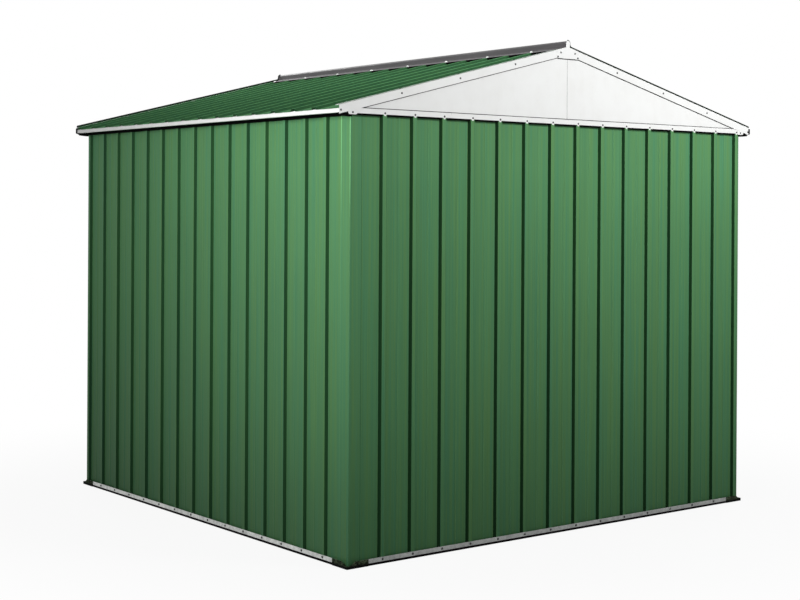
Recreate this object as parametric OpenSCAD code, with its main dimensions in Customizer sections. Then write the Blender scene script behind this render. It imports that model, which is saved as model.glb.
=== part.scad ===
// Metal storage shed with ribbed steel walls, a low gable roof and white trims.
// The ridge runs along Y, the gables face -Y and +Y, and Z = 0 is the ground.
// All sizes are in millimetres.

/* [Building] */
// Width of the gable walls over the rib tops
wall_w = 2310; // [1200:1:3600]
// Length of the eave walls over the rib tops
wall_d = 2310; // [1200:1:4800]
// Height of the lower edge of the gable rails
rail_z = 1770; // [1200:1:2400]
// Slope of the roof in degrees
roof_slope = 14.3; // [6:0.1:25]

/* [Ribbed sheet] */
// Thickness of the coated steel sheet
sheet_t = 0.4; // [0.3:0.05:1]
// Distance from one rib to the next
rib_pitch = 150; // [100:1:250]
// Height of a rib above the pan beside it
rib_h = 11; // [5:0.5:20]
// Width of the flat top of a rib
rib_top = 20; // [10:0.5:40]
// Width of each sloping flank of a rib
rib_run = 7.5; // [3:0.5:15]
// Distance from a corner to the first rib
first_rib = 170; // [110:1:200]
// Height of the stiffening bead in the middle of each pan
bead_h = 1.2; // [0.5:0.1:3]
// Width of the stiffening bead
bead_w = 12; // [6:0.5:20]

/* [Base] */
// Height of the rails above the ground, on the corner feet
rail_lift = 8; // [4:0.5:20]
// Height of the visible leg of a base rail
base_rail_h = 19; // [12:0.5:40]
// Thickness of the galvanised base rail
base_t = 0.8; // [0.5:0.1:2]
// Play of a wall sheet inside the base rail and the eave plate
sheet_play = 0.4; // [0.2:0.1:2]
// Length of each leg of a corner foot
foot_leg = 100; // [60:1:160]
// Height of the outer wall of a corner foot
foot_h = 27; // [20:0.5:50]
// Height of that wall at the corner itself
foot_corner_h = 13; // [10:0.5:20]
// Thickness of the walls of a corner foot
foot_t = 2.5; // [1.5:0.1:5]
// Length of rail that is held inside a corner foot
rail_seat = 32; // [20:1:50]

/* [Corners] */
// Width of each leg of a corner angle, from the wall's corner
corner_leg = 72; // [20:1:90]
// Outer radius of the fold of a corner angle
corner_r = 3; // [2:0.5:5]

/* [Gables] */
// Height of the visible face of a gable rail
gable_rail_h = 21; // [15:0.5:40]
// Thickness of the white trims and the gable infill
trim_t = 0.8; // [0.5:0.1:2]
// Distance of the gable infill behind the rib tops
infill_set = 2; // [1:0.1:6]
// Depth of the folds along the seam of the infill
seam_fold = 12; // [5:0.5:25]
// Width of the face of a rake trim
rake_w = 34; // [25:0.5:70]
// Width of the top flange of a rake trim
rake_flange = 28; // [15:0.5:50]
// Distance that the end of a rake trim reaches below the eave trim
rake_tail = 5; // [0:0.5:15]
// Width of the apex plate
apex_w = 132; // [90:1:200]

/* [Eaves] */
// Play between the roof sheets and the pieces above and below them
roof_play = 0.1; // [0.05:0.05:0.5]
// Distance of the eave trim outside the rib tops
eave_out = 50; // [30:1:120]
// Height of the face of an eave trim
fascia_h = 17; // [12:0.5:40]
// Width of the lower lip of an eave trim
fascia_lip = 14; // [8:0.5:25]
// Distance that the roof sheets run past the eave trim
roof_drip = 3; // [0:0.5:15]
// Height of the legs of an eave plate
plate_h = 22; // [15:0.5:40]

/* [Ridge] */
// Distance between the roof sheets at the ridge
ridge_gap = 12; // [6:1:20]
// Width of each flange of the ridge cap
ridge_flange = 60; // [40:1:100]
// Width of the roll on the ridge cap
roll_w = 20; // [14:0.5:40]
// Height of the roll above the flanges
roll_h = 27; // [16:0.5:50]
// Thickness of the ridge cap
ridge_t = 0.6; // [0.4:0.1:1.5]

/* [Hidden] */

// Smoothness of the rolled edges
$fn = 48;

WALL_GREEN = "#4b7a50";
ROOF_GREEN = "#47684a";
WHITE = "#eef0ee";
GALVANISED = "#9a9d9c";
BLACK = "#1c1c1c";
RIDGE_GREY = "#6e7070";

WALL_SHEETS = 3;
ROOF_SHEETS = 2;

// Half the width and length over the rib tops
half_w = wall_w / 2;
half_d = wall_d / 2;
// Rise of the roof for each unit of run, and slope length for each unit of run
rise = tan(roof_slope);
stretch = 1 / cos(roof_slope);

// Depth of a ribbed sheet, and half the width of a rib at its foot
sheet_depth = rib_h + sheet_t;
rib_foot = rib_top / 2 + rib_run;
// Clear width inside a base rail or an eave plate
channel_in = sheet_depth + sheet_play;
// Flat strip that a sheet has in front of its first rib
sheet_edge = 2;
// Distance from a wall's corner to the edge of its first or last sheet, behind the corner angle
sheet_start = rib_h + corner_r;
// Least distance from the foot of the last rib to the end of the wall
last_pan = sheet_start + sheet_edge;

// Level on which the wall sheets stand
sheet_z = rail_lift + base_t;
// Distance from the rib tops to the outer face of a corner foot
foot_side = base_t + foot_t;
// Where the upper edge of the foot's outer wall starts and ends its rise
foot_rise_start = 16;
foot_rise_end = 36;

// Upper edge of the gable rail, which is also the top of its ledge
gable_rail_top = rail_z + gable_rail_h;
// The eave line, where the underside of the roof meets the face of the eave trim
eave_x = half_w + eave_out;
eave_z = rail_z + fascia_h;
// Height of a roof sheet over its ribs, measured plumb
roof_depth = sheet_depth * stretch;
// Distance from the ridge line to the lower edge of the ridge cap
cap_x = roll_w / 2 + ridge_flange / stretch;

// Underside of the roof and what carries it, at a distance from the ridge line
function roof_z(x) = eave_z + (eave_x - x) * rise;
function seat_z(x) = roof_z(x) - roof_play;
// Level of what lies on the roof's ribs, and the two edges of a rake
function rib_z(x) = roof_z(x) + roof_depth + roof_play;
function rake_top(x) = rib_z(x) + trim_t * stretch;
function rake_low(x) = rake_top(x) - rake_w * stretch;

// Number of ribs on a wall of the given length, and where the foot of the last one ends
function rib_count(length) = floor((length - last_pan - rib_foot - first_rib) / rib_pitch) + 1;
function last_foot(length) = first_rib + (rib_count(length) - 1) * rib_pitch + rib_foot;

// Four corners of a rib or bead; the inner side is moved by the sheet's thickness
function fold_points(middle, top, run, height, thickness) =
    let (shift = thickness * tan(atan(height / run) / 2))
    let (foot_y = rib_h + thickness)
    [
        [middle - top / 2 - run + shift, foot_y],
        [middle - top / 2 + shift, foot_y - height],
        [middle + top / 2 - shift, foot_y - height],
        [middle + top / 2 + run - shift, foot_y]
    ];

// The ribs numbered first to last, and the beads in the pans between them
function sheet_folds(first, last, bead_after, thickness) = [
    for (i = [first : last])
        let (middle = first_rib + i * rib_pitch)
        let (has_bead = i < last || bead_after)
        for (p = concat(
            fold_points(middle, rib_top, rib_run, rib_h, thickness),
            has_bead
                ? fold_points(middle + rib_pitch / 2, bead_w / 2, bead_w / 4, bead_h, thickness)
                : []
        )) p
];

function reversed(list) = [for (i = [len(list) - 1 : -1 : 0]) list[i]];

// Cross-section of sheet number i of count on a wall: x runs along the wall from its start,
// y = 0 is the plane of the rib tops and y grows inwards
module sheet_section(length, i, count, start, end) {
    ribs = rib_count(length);
    per_sheet = ceil(ribs / count);
    first = i * per_sheet;
    last = min(first + per_sheet, ribs) - 1;
    is_last = i == count - 1;
    joint_before = first_rib + first * rib_pitch - rib_foot - sheet_edge;
    joint_after = first_rib + (last + 1) * rib_pitch - rib_foot - sheet_edge;
    from = i == 0 ? start : joint_before;
    to = is_last ? end : joint_after;
    polygon(concat(
        [[from, rib_h]],
        sheet_folds(first, last, !is_last, 0),
        [[to, rib_h], [to, sheet_depth]],
        reversed(sheet_folds(first, last, !is_last, sheet_t)),
        [[from, sheet_depth]]
    ));
}

// Puts what is drawn for the front wall, with its left corner at the origin, on any wall
module on_wall(side) {
    if (side == "front") translate([-half_w, -half_d, 0]) children();
    if (side == "back") mirror([0, 1, 0]) translate([-half_w, -half_d, 0]) children();
    if (side == "left") translate([-half_w, -half_d, 0]) mirror([1, -1, 0]) children();
    if (side == "right") mirror([1, 0, 0]) translate([-half_w, -half_d, 0]) mirror([1, -1, 0]) children();
}

// Puts what is drawn for the front or left side, about the middle of the shed, on another side
module on_side(back, right) {
    mirror([0, back ? 1 : 0, 0]) mirror([right ? 1 : 0, 0, 0]) children();
}

// Extrudes a gable outline, drawn as x and z, from a distance behind the rib tops
module gable_layer(behind, depth) {
    translate([0, behind + depth - half_d, 0]) rotate([90, 0, 0]) linear_extrude(depth) children();
}

// Extrudes a profile, drawn as distance inwards and height, along the whole of a wall
module along_wall(from, to) {
    translate([from, 0, 0]) rotate([90, 0, 90]) linear_extrude(to - from) children();
}

// Gable wall sheet, from the floor of the base rail to the ledge of the gable rail
module gable_wall_sheet(side, i) {
    color(WALL_GREEN)
        on_wall(side)
            translate([0, 0, sheet_z])
                linear_extrude(gable_rail_top - trim_t - sheet_z)
                    sheet_section(wall_w, i, WALL_SHEETS, sheet_start, wall_w - sheet_start);
}

// Eave wall sheet, from the floor of the base rail up into the eave plate
module eave_wall_sheet(side, i) {
    color(WALL_GREEN)
        on_wall(side)
            translate([0, 0, sheet_z])
                linear_extrude(seat_z(half_w) - trim_t * stretch - sheet_z)
                    sheet_section(wall_d, i, WALL_SHEETS, sheet_start, wall_d - sheet_start);
}

// Galvanised channel that the wall sheets stand in, held by the corner feet
module base_rail(side) {
    length = side == "front" || side == "back" ? wall_w : wall_d;
    start = foot_leg - rail_seat;
    color(GALVANISED)
        on_wall(side)
            along_wall(start, length - start)
                translate([-base_t, rail_lift])
                    difference() {
                        square([channel_in + 2 * base_t, base_rail_h]);
                        translate([base_t, base_t]) square([channel_in, base_rail_h]);
                    }
}

// One leg of a corner foot: its floor, its outer wall and its inner wall
module foot_half() {
    inner = channel_in + base_t;
    translate([-foot_side, -foot_side, 0]) cube([foot_leg + foot_side, foot_side + inner + foot_t, rail_lift]);
    translate([inner, inner, 0]) cube([foot_leg - inner, foot_t, foot_h]);
    translate([0, -base_t, 0])
        rotate([90, 0, 0])
            linear_extrude(foot_t)
                polygon([
                    [-foot_side, 0],
                    [foot_leg, 0],
                    [foot_leg, foot_h],
                    [foot_rise_end, foot_h],
                    [foot_rise_start, foot_corner_h],
                    [-foot_side, foot_corner_h]
                ]);
}

// Plastic foot that joins two base rails and carries the shed
module corner_foot(back, right) {
    color(BLACK)
        on_side(back, right)
            translate([-half_w, -half_d, 0]) {
                foot_half();
                mirror([1, -1, 0]) foot_half();
            }
}

// Length of the corner angle's leg on a wall: the wide leg where the ribs start, else up to the last rib
function corner_leg_at(length, far_end) =
    far_end ? length - last_foot(length) - sheet_edge / 2 : min(corner_leg, first_rib - rib_foot - sheet_edge);

// Folded angle that covers the meeting edges of two walls
module corner_angle(back, right) {
    outer = rib_h - sheet_t;
    bend = outer + corner_r;
    color(WALL_GREEN)
        on_side(back, right)
            translate([-half_w, -half_d, sheet_z])
                linear_extrude(gable_rail_top - trim_t - sheet_z) {
                    translate([bend, outer]) square([corner_leg_at(wall_w, right) - bend, sheet_t]);
                    translate([outer, bend]) square([sheet_t, corner_leg_at(wall_d, back) - bend]);
                    translate([bend, bend])
                        intersection() {
                            difference() {
                                circle(corner_r);
                                circle(corner_r - sheet_t);
                            }
                            translate([-corner_r, -corner_r]) square(corner_r);
                        }
                }
}

// White rail along the foot of a gable; its ledge covers the wall sheets and carries the infill
module gable_rail(side) {
    ledge_start = channel_in + 2 * trim_t;
    color(WHITE)
        on_wall(side) {
            translate([0, -trim_t, rail_z]) cube([wall_w, trim_t, gable_rail_h]);
            translate([ledge_start, -trim_t, gable_rail_top - trim_t])
                cube([wall_w - 2 * ledge_start, channel_in + trim_t, trim_t]);
        }
}

// Channel on top of an eave wall, sloped like the roof that it carries
module eave_plate(side) {
    low = seat_z(half_w) - plate_h;
    ceiling = trim_t * stretch;
    color(WALL_GREEN)
        on_wall(side)
            along_wall(channel_in, wall_d - channel_in)
                difference() {
                    polygon([
                        [-trim_t, low],
                        [channel_in + trim_t, low],
                        [channel_in + trim_t, seat_z(half_w - channel_in - trim_t)],
                        [-trim_t, seat_z(half_w + trim_t)]
                    ]);
                    polygon([
                        [0, low - 1],
                        [channel_in, low - 1],
                        [channel_in, seat_z(half_w - channel_in) - ceiling],
                        [0, seat_z(half_w) - ceiling]
                    ]);
                }
}

// One half of a gable, from the rail's ledge to the roof, with a fold along the middle seam
module gable_infill(back, right) {
    color(WHITE)
        on_side(back, right) {
            gable_layer(infill_set, trim_t)
                polygon([
                    [-half_w, gable_rail_top],
                    [0, gable_rail_top],
                    [0, seat_z(0)],
                    [-half_w, seat_z(half_w)]
                ]);
            gable_layer(infill_set, seam_fold)
                polygon([
                    [-trim_t, gable_rail_top],
                    [0, gable_rail_top],
                    [0, seat_z(0)],
                    [-trim_t, seat_z(trim_t)]
                ]);
        }
}

// White trim along a sloping edge of the roof: a face outside and a flange over the roof
module rake(back, right) {
    flange_x = cap_x + sheet_edge;
    color(WHITE)
        on_side(back, right) {
            gable_layer(-2 * trim_t, trim_t)
                intersection() {
                    polygon([
                        [-eave_x, rake_low(eave_x)],
                        [0, rake_low(0)],
                        [0, rake_top(0)],
                        [-eave_x, rake_top(eave_x)]
                    ]);
                    translate([-eave_x, rail_z - rake_tail]) square([eave_x, rake_top(0)]);
                }
            gable_layer(-2 * trim_t, rake_flange)
                polygon([
                    [-eave_x, rib_z(eave_x)],
                    [-flange_x, rib_z(flange_x)],
                    [-flange_x, rake_top(flange_x)],
                    [-eave_x, rake_top(eave_x)]
                ]);
        }
}

// Strip with a round upper end about the origin, down to the given depth
module round_strip(radius, depth) {
    circle(radius);
    translate([-radius, -depth]) square([2 * radius, depth]);
}

// White plate over the meeting rakes; its bump covers the end of the ridge roll
module apex_plate(back) {
    half = apex_w / 2;
    bump_r = roll_w / 2 + trim_t;
    bump_z = rib_z(0) + roll_h + trim_t - bump_r;
    color(WHITE)
        on_side(back, false)
            gable_layer(-3 * trim_t, trim_t)
                union() {
                    polygon([
                        [-half, rake_low(half)],
                        [half, rake_low(half)],
                        [half, rake_top(half)],
                        [0, rake_top(0)],
                        [-half, rake_top(half)]
                    ]);
                    translate([0, bump_z]) round_strip(bump_r, bump_z - rake_low(half));
                }
}

// White trim along an eave: a face, a lower lip and a flange that carries the roof sheets
module eave_trim(side) {
    flange = eave_out - trim_t;
    top = seat_z(eave_x);
    drop = trim_t * stretch;
    color(WHITE)
        on_wall(side)
            along_wall(-trim_t, wall_d + trim_t)
                translate([-eave_out, 0]) {
                    translate([0, rail_z]) square([trim_t, top - drop - rail_z]);
                    translate([0, rail_z]) square([fascia_lip, trim_t]);
                    polygon([
                        [0, top - drop],
                        [flange, top - drop + flange * rise],
                        [flange, top + flange * rise],
                        [0, top]
                    ]);
                }
}

// Ribbed roof sheet, from just beside the ridge line down past the eave trim
module roof_sheet(right, i) {
    top_x = ridge_gap / 2;
    color(ROOF_GREEN)
        on_side(false, right)
            translate([-top_x, -half_d, roof_z(top_x)])
                rotate([0, 180 - roof_slope, 0])
                    rotate([90, 0, 90])
                        linear_extrude((eave_x + roof_drip - top_x) * stretch)
                            translate([0, -sheet_depth])
                                sheet_section(wall_d, i, ROOF_SHEETS, -trim_t, wall_d + trim_t);
}

// Outline of the roll on the ridge cap, with the given radius and down to the given level
module roll_outline(radius, foot) {
    middle = rib_z(0) + roll_h - roll_w / 2;
    translate([0, middle]) round_strip(radius, middle - foot);
}

// Roll-top cap along the ridge, lying on the ribs of the roof sheets
module ridge_cap() {
    plumb_t = ridge_t * stretch;
    roll_foot = rib_z(roll_w / 2);
    color(RIDGE_GREY)
        gable_layer(-trim_t, wall_d + 2 * trim_t)
            difference() {
                union() {
                    roll_outline(roll_w / 2, roll_foot + plumb_t / 2);
                    polygon([
                        [-cap_x, rib_z(cap_x)],
                        [0, rib_z(0)],
                        [cap_x, rib_z(cap_x)],
                        [cap_x, rib_z(cap_x) + plumb_t],
                        [0, rib_z(0) + plumb_t],
                        [-cap_x, rib_z(cap_x) + plumb_t]
                    ]);
                }
                roll_outline(roll_w / 2 - ridge_t, roll_foot);
            }
}

gable_wall_sheet("front", 0);  // front_wall_sheet_1
gable_wall_sheet("front", 1);  // front_wall_sheet_2
gable_wall_sheet("front", 2);  // front_wall_sheet_3
gable_wall_sheet("back", 0);  // back_wall_sheet_1
gable_wall_sheet("back", 1);  // back_wall_sheet_2
gable_wall_sheet("back", 2);  // back_wall_sheet_3
eave_wall_sheet("left", 0);  // left_wall_sheet_1
eave_wall_sheet("left", 1);  // left_wall_sheet_2
eave_wall_sheet("left", 2);  // left_wall_sheet_3
eave_wall_sheet("right", 0);  // right_wall_sheet_1
eave_wall_sheet("right", 1);  // right_wall_sheet_2
eave_wall_sheet("right", 2);  // right_wall_sheet_3
base_rail("front");  // front_base_rail
base_rail("back");  // back_base_rail
base_rail("left");  // left_base_rail
base_rail("right");  // right_base_rail
corner_foot(false, false);  // front_left_foot
corner_foot(false, true);  // front_right_foot
corner_foot(true, false);  // back_left_foot
corner_foot(true, true);  // back_right_foot
corner_angle(false, false);  // front_left_corner
corner_angle(false, true);  // front_right_corner
corner_angle(true, false);  // back_left_corner
corner_angle(true, true);  // back_right_corner
gable_rail("front");  // front_gable_rail
gable_rail("back");  // back_gable_rail
eave_plate("left");  // left_eave_plate
eave_plate("right");  // right_eave_plate
gable_infill(false, false);  // front_left_infill
gable_infill(false, true);  // front_right_infill
gable_infill(true, false);  // back_left_infill
gable_infill(true, true);  // back_right_infill
rake(false, false);  // front_left_rake
rake(false, true);  // front_right_rake
rake(true, false);  // back_left_rake
rake(true, true);  // back_right_rake
apex_plate(false);  // front_apex_plate
apex_plate(true);  // back_apex_plate
eave_trim("left");  // left_eave_trim
eave_trim("right");  // right_eave_trim
roof_sheet(false, 0);  // left_roof_sheet_1
roof_sheet(false, 1);  // left_roof_sheet_2
roof_sheet(true, 0);  // right_roof_sheet_1
roof_sheet(true, 1);  // right_roof_sheet_2
ridge_cap();
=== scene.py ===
"""Looks of a ribbed steel storage shed, built around its packed construction model.

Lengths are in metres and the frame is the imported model's: the gables face -Y and +Y, the ridge runs
along Y, and Z = 0 is the ground. A wall, or one slope of the roof, also has coordinates of its own:
`along` runs beside it from a corner towards +X or +Y, `depth` runs inwards from the plane of its rib
tops, and the third one is the height on a wall and the distance down the slope on the roof.
"""

import math

import bpy
from mathutils import Matrix, Vector


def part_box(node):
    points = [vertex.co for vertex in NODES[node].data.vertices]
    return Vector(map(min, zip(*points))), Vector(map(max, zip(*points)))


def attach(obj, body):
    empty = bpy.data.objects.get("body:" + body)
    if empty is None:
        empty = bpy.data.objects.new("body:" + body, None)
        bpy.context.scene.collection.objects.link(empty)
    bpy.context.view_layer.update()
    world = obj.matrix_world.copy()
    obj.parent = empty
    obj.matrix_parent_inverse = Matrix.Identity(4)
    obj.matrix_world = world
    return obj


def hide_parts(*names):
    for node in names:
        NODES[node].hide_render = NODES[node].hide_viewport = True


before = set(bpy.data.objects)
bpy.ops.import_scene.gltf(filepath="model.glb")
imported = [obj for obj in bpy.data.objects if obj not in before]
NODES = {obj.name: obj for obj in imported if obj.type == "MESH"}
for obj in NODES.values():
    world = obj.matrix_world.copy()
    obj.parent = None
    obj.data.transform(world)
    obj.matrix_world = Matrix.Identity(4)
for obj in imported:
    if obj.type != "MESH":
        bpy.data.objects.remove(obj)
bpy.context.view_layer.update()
MM = 0.001

# Driving sizes, the same as in the construction model
SHEET_T = 0.4 * MM
RIB_PITCH = 150 * MM
RIB_H = 11 * MM
RIB_TOP = 20 * MM
RIB_RUN = 7.5 * MM
FIRST_RIB = 170 * MM
BEAD_H = 1.2 * MM
BEAD_W = 12 * MM
CORNER_R = 3 * MM
SHEET_EDGE = 2 * MM
WALL_SHEETS = 3
ROOF_SHEETS = 2
TRIM_T = 0.8 * MM
BASE_T = 0.8 * MM
ROOF_SLOPE = math.radians(14.3)
FASCIA_H = 17 * MM
ROOF_DRIP = 3 * MM
RIDGE_GAP = 12 * MM
RIDGE_FLANGE = 60 * MM
ROLL_W = 20 * MM
RIDGE_T = 0.6 * MM
ROOF_PLAY = 0.1 * MM
RAKE_W = 34 * MM
RAKE_FLANGE = 28 * MM
APEX_W = 132 * MM
FASCIA_LIP = 14 * MM
INFILL_SET = 2 * MM
PLATE_H = 22 * MM
ROLL_H = 27 * MM
FOOT_LEG = 100 * MM

# Sizes of what only the looks have
BEND_R = 1.8 * MM
BEND_STEPS = 4
TRIM_BEND = 1.6 * MM
ARC_STEPS = 8
LAP = 0.75 * MM
LAP_GAP = 1.0 * MM

# Measures of the whole shed, read from the frame
RAIL_LOW, RAIL_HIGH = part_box("front_gable_rail")
HALF_W = RAIL_HIGH.x
HALF_D = -RAIL_LOW.y - TRIM_T
WIDTH = 2 * HALF_W
DEPTH = 2 * HALF_D
CHANNEL_IN = RAIL_HIGH.y + HALF_D
RAIL_Z = RAIL_LOW.z
RAIL_TOP = RAIL_HIGH.z
EAVE_X = -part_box("left_eave_trim")[0].x
EAVE_Z = RAIL_Z + FASCIA_H
RISE = math.tan(ROOF_SLOPE)
STRETCH = 1 / math.cos(ROOF_SLOPE)
SHEET_DEPTH = RIB_H + SHEET_T
RIB_FOOT = RIB_TOP / 2 + RIB_RUN
SHEET_START = RIB_H + CORNER_R
LAST_PAN = SHEET_START + SHEET_EDGE
CAP_X = ROLL_W / 2 + RIDGE_FLANGE / STRETCH
FLANGE_X = CAP_X + SHEET_EDGE
FACE_H = RAKE_W * STRETCH
SIDES = {"front": WIDTH, "back": WIDTH, "left": DEPTH, "right": DEPTH}
ENDS = ("front", "back")
HANDS = ("left", "right")
CORNERS = [(end, hand) for end in ENDS for hand in HANDS]
# Corners with a fold in painted highlight and a low roof edge; the other two have a fold in painted
# shade and a high roof edge in near-black painted shade
SUNNY = (("front", "left"), ("back", "right"))
SHADED = [corner for corner in CORNERS if corner not in SUNNY]


def roof_z(x):
    """Height of the roof's underside at a distance from the ridge line."""
    return EAVE_Z + (EAVE_X - x) * RISE


def rib_z(x):
    """Height of what lies on the roof's ribs."""
    return roof_z(x) + SHEET_DEPTH * STRETCH + ROOF_PLAY


def rake_top(x):
    """Height of the upper edge of a rake."""
    return rib_z(x) + TRIM_T * STRETCH


def rib_places(length):
    """Where the middle of each rib is along a wall or a slope of this length."""
    count = math.floor((length - LAST_PAN - RIB_FOOT - FIRST_RIB) / RIB_PITCH + 1e-6) + 1
    return [FIRST_RIB + i * RIB_PITCH for i in range(count)]


# ---- coordinates


def axes(along, depth, third, origin):
    """Matrix from a surface's own coordinates to the frame."""
    columns = [Vector(v) for v in (along, depth, third)]
    rotation = Matrix(columns).transposed().to_4x4()
    return Matrix.Translation(origin) @ rotation


def wall_axes(side):
    """A wall's own coordinates: along, depth and height."""
    up = (0, 0, 1)
    if side == "front":
        return axes((1, 0, 0), (0, 1, 0), up, (-HALF_W, -HALF_D, 0))
    if side == "back":
        return axes((1, 0, 0), (0, -1, 0), up, (-HALF_W, HALF_D, 0))
    if side == "left":
        return axes((0, 1, 0), (1, 0, 0), up, (-HALF_W, -HALF_D, 0))
    return axes((0, 1, 0), (-1, 0, 0), up, (HALF_W, -HALF_D, 0))


def off_slope(sign):
    """The way that a slope of the roof faces, -1 for the left one."""
    return Vector((sign * math.sin(ROOF_SLOPE), 0, math.cos(ROOF_SLOPE)))


def slope_axes(side):
    """The roof's own coordinates start at its upper edge, beside the ridge."""
    sign = -1 if side == "left" else 1
    cos, sin = math.cos(ROOF_SLOPE), math.sin(ROOF_SLOPE)
    outwards = off_slope(sign)
    top_x = RIDGE_GAP / 2
    edge = Vector((sign * top_x, -HALF_D, roof_z(top_x)))
    return axes((0, 1, 0), -outwards, (sign * cos, 0, -sin), edge + outwards * SHEET_DEPTH)


def length_axes(side):
    """A wall's coordinates in another order: the height, the depth, and the third one along the wall."""
    order = Matrix(((0, 0, 1, 0), (0, 1, 0, 0), (1, 0, 0, 0), (0, 0, 0, 1)))
    return wall_axes(side) @ order


def rake_axes(end, hand):
    """Height over the upper edge of a rake, depth, and level distance from the end of the rake."""
    sign = -1 if hand == "left" else 1
    inwards = 1 if end == "front" else -1
    origin = (sign * EAVE_X, -inwards * HALF_D, rake_top(EAVE_X))
    return axes((0, 0, 1), (0, inwards, 0), (-sign, 0, RISE), origin)


def corner_axes(end, hand):
    """Plan coordinates from a corner of the shed, along its two walls, and the height."""
    across = 1 if hand == "left" else -1
    inwards = 1 if end == "front" else -1
    return axes((across, 0, 0), (0, inwards, 0), (0, 0, 1), (-across * HALF_W, -inwards * HALF_D, 0))


# ---- materials


class Nodes:
    """Short calls for the nodes of one tree."""

    def __init__(self, tree):
        self.tree = tree

    def node(self, kind, inputs=None, **settings):
        """New node; inputs maps its sockets to numbers, colours or other nodes' outputs."""
        made = self.tree.nodes.new(kind)
        for key, value in settings.items():
            setattr(made, key, value)
        for key, value in (inputs or {}).items():
            self.put(made.inputs[key], value)
        return made

    def put(self, socket, value):
        if isinstance(value, bpy.types.NodeSocket):
            self.tree.links.new(value, socket)
        elif socket.type == "VECTOR":
            socket.default_value = value[:3]
        else:
            socket.default_value = value

    def spread(self, value, low, high, to_low, to_high, interpolation="LINEAR"):
        inputs = {"Value": value, "From Min": low, "From Max": high}
        inputs |= {"To Min": to_low, "To Max": to_high}
        made = self.node("ShaderNodeMapRange", inputs, interpolation_type=interpolation)
        return made.outputs["Result"]

    def maths(self, operation, a, b):
        return self.node("ShaderNodeMath", {0: a, 1: b}, operation=operation).outputs[0]

    def seen(self):
        """1 for rays of the camera or sent on by a gloss or a glass, and 0 for the light's own."""
        rays = self.node("ShaderNodeLightPath").outputs
        most = self.maths("MAXIMUM", rays["Is Camera Ray"], rays["Is Glossy Ray"])
        return self.maths("MAXIMUM", most, rays["Is Transmission Ray"])


class Surface(Nodes):
    """A material under construction."""

    def __init__(self, name):
        self.material = bpy.data.materials.new(name)
        self.material.use_nodes = True
        super().__init__(self.material.node_tree)
        self.shader = self.tree.nodes["Principled BSDF"]
        self.place = self.node("ShaderNodeTexCoord").outputs["Object"]

    def noise(self, scale, detail=3.0, rough=0.5, stretch=(1, 1, 1)):
        mapping = self.node("ShaderNodeMapping", {"Vector": self.place, "Scale": stretch})
        inputs = {"Vector": mapping.outputs["Vector"], "Scale": scale}
        inputs |= {"Detail": detail, "Roughness": rough}
        return self.node("ShaderNodeTexNoise", inputs).outputs["Fac"]

    def height(self):
        return self.node("ShaderNodeSeparateXYZ", {"Vector": self.place}).outputs["Z"]

    def mix(self, factor, a, b):
        return self.node("ShaderNodeMix", {"Factor": factor, 6: a, 7: b}, data_type="RGBA").outputs[2]

    def scale_colour(self, colour, factor):
        inputs = {0: colour, "Scale": factor}
        return self.node("ShaderNodeVectorMath", inputs, operation="SCALE").outputs["Vector"]

    def bump(self, height, distance, strength=1.0, under=None):
        inputs = {"Height": height, "Distance": distance, "Strength": strength}
        if under is not None:
            inputs["Normal"] = under
        return self.node("ShaderNodeBump", inputs).outputs["Normal"]

    def finish(self, colour, roughness, normal, metallic=0.0, specular=0.5):
        inputs = {"Base Color": colour, "Roughness": roughness, "Normal": normal}
        inputs |= {"Metallic": metallic, "Specular IOR Level": specular}
        for key, value in inputs.items():
            self.put(self.shader.inputs[key], value)
        return self.material


def rgb(red, green, blue):
    """A colour written in 0 to 255 display values."""

    def linear(value):
        value /= 255
        return value / 12.92 if value <= 0.04045 else ((value + 0.055) / 1.055) ** 2.4

    return (linear(red), linear(green), linear(blue), 1.0)


# Heights of the painted shade that darkens the greens towards their foot, and of the folds' painted
# highlight
WALL_REACH = (0.0, 1.6)
ROOF_REACH = (1.76, 2.0)
GLOW_REACH = (1.35, 1.75)


def coated_steel(name, warm, cool, foot_shade, specular, reach=WALL_REACH, glow=1.0):
    """Coil-coated sheet: long streaks between two tones, clouds, painted shade towards its foot, faint
    waves.

    foot_shade is the tone of that painted shade at the lower height of reach, and glow the tone of a
    painted highlight at the upper height of GLOW_REACH.
    """
    s = Surface(name)
    streaks = s.noise(1.0, detail=5.0, rough=0.62, stretch=(75, 75, 0.8))
    fine = s.noise(1.0, detail=2.0, stretch=(210, 210, 1.6))
    clouds = s.noise(1.3, detail=3.0)
    colour = s.mix(s.spread(streaks, 0.36, 0.64, 0, 1), warm, cool)
    tone = s.spread(fine, 0.3, 0.7, 0.94, 1.06)
    tone = s.maths("MULTIPLY", tone, s.spread(clouds, 0.3, 0.7, 0.96, 1.04))
    # painted shade: darker towards the lower height of reach
    tone = s.maths("MULTIPLY", tone, s.spread(s.height(), *reach, foot_shade, 1.0))
    # painted highlight: lighter towards the top of GLOW_REACH
    if glow != 1.0:
        tone = s.maths("MULTIPLY", tone, s.spread(s.height(), *GLOW_REACH, 1.0, glow))
    waves = s.noise(1.0, detail=1.0, stretch=(7, 7, 1.1))
    peel = s.noise(1300, detail=2.0)
    normal = s.bump(waves, 1.2 * MM, 0.35)
    normal = s.bump(peel, 0.03 * MM, 0.5, under=normal)
    roughness = s.spread(clouds, 0.3, 0.7, 0.40, 0.52)
    return s.finish(s.scale_colour(colour, tone), roughness, normal, specular=specular)


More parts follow.
